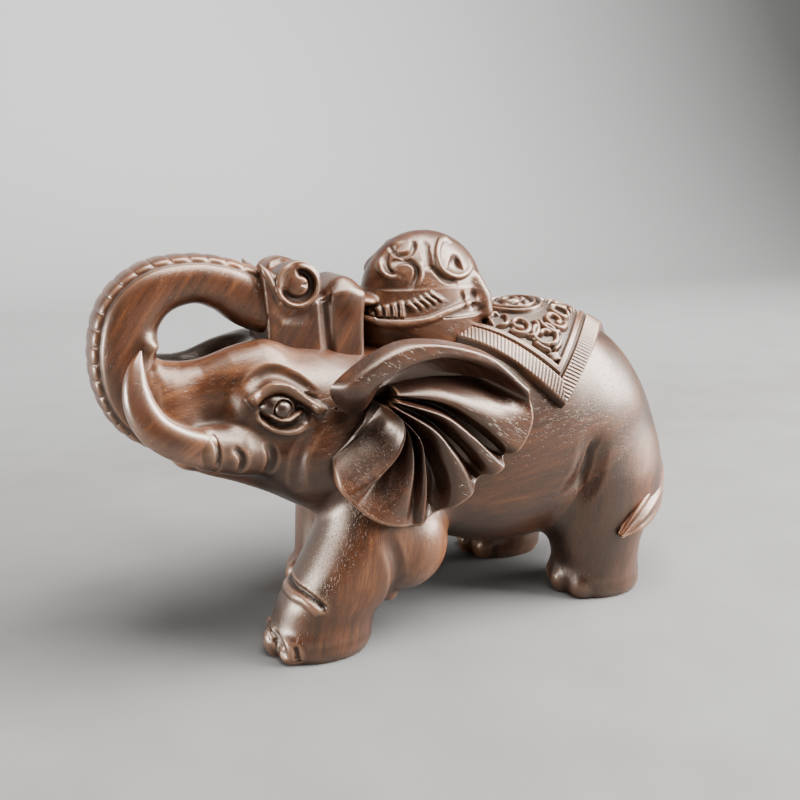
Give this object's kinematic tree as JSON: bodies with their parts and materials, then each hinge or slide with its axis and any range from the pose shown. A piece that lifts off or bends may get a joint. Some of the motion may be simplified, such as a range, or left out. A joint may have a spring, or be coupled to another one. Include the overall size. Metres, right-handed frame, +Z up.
{
  "type": "carved wooden elephant figurine",
  "caption": "Carved dark hardwood elephant, walking, trunk curled up over the brow, tusks, large folded ears, a cloud scroll, an ingot and a draped cloth on its back.",
  "frame": {"origin": "on the standing surface, under the middle of the bounding box", "axes": "+X from the nose to the tail, +Y to the elephant's right side, +Z up"},
  "size_m": [0.1666, 0.0662, 0.104],
  "materials": {
    "body_wood": "waxed and polished dark rosewood",
    "tusk_wood": "brightly polished rosewood",
    "eye_wood": "glossy dark rosewood",
    "ornament_wood": "polished rosewood with dark carved grounds"
  },
  "bodies": {
    "root": {"torso": "body_wood", "head": "body_wood", "trunk": "body_wood", "front_left_leg": "body_wood", "front_right_leg": "body_wood", "hind_left_leg": "body_wood", "hind_right_leg": "body_wood", "left_tusk": "tusk_wood", "right_tusk": "tusk_wood", "left_ear": "body_wood", "right_ear": "body_wood", "left_eye": "eye_wood", "right_eye": "eye_wood", "cloud_scroll": "ornament_wood", "ingot": "ornament_wood", "saddle_cloth": "ornament_wood", "tail": "body_wood"}
  },
  "joints": []
}
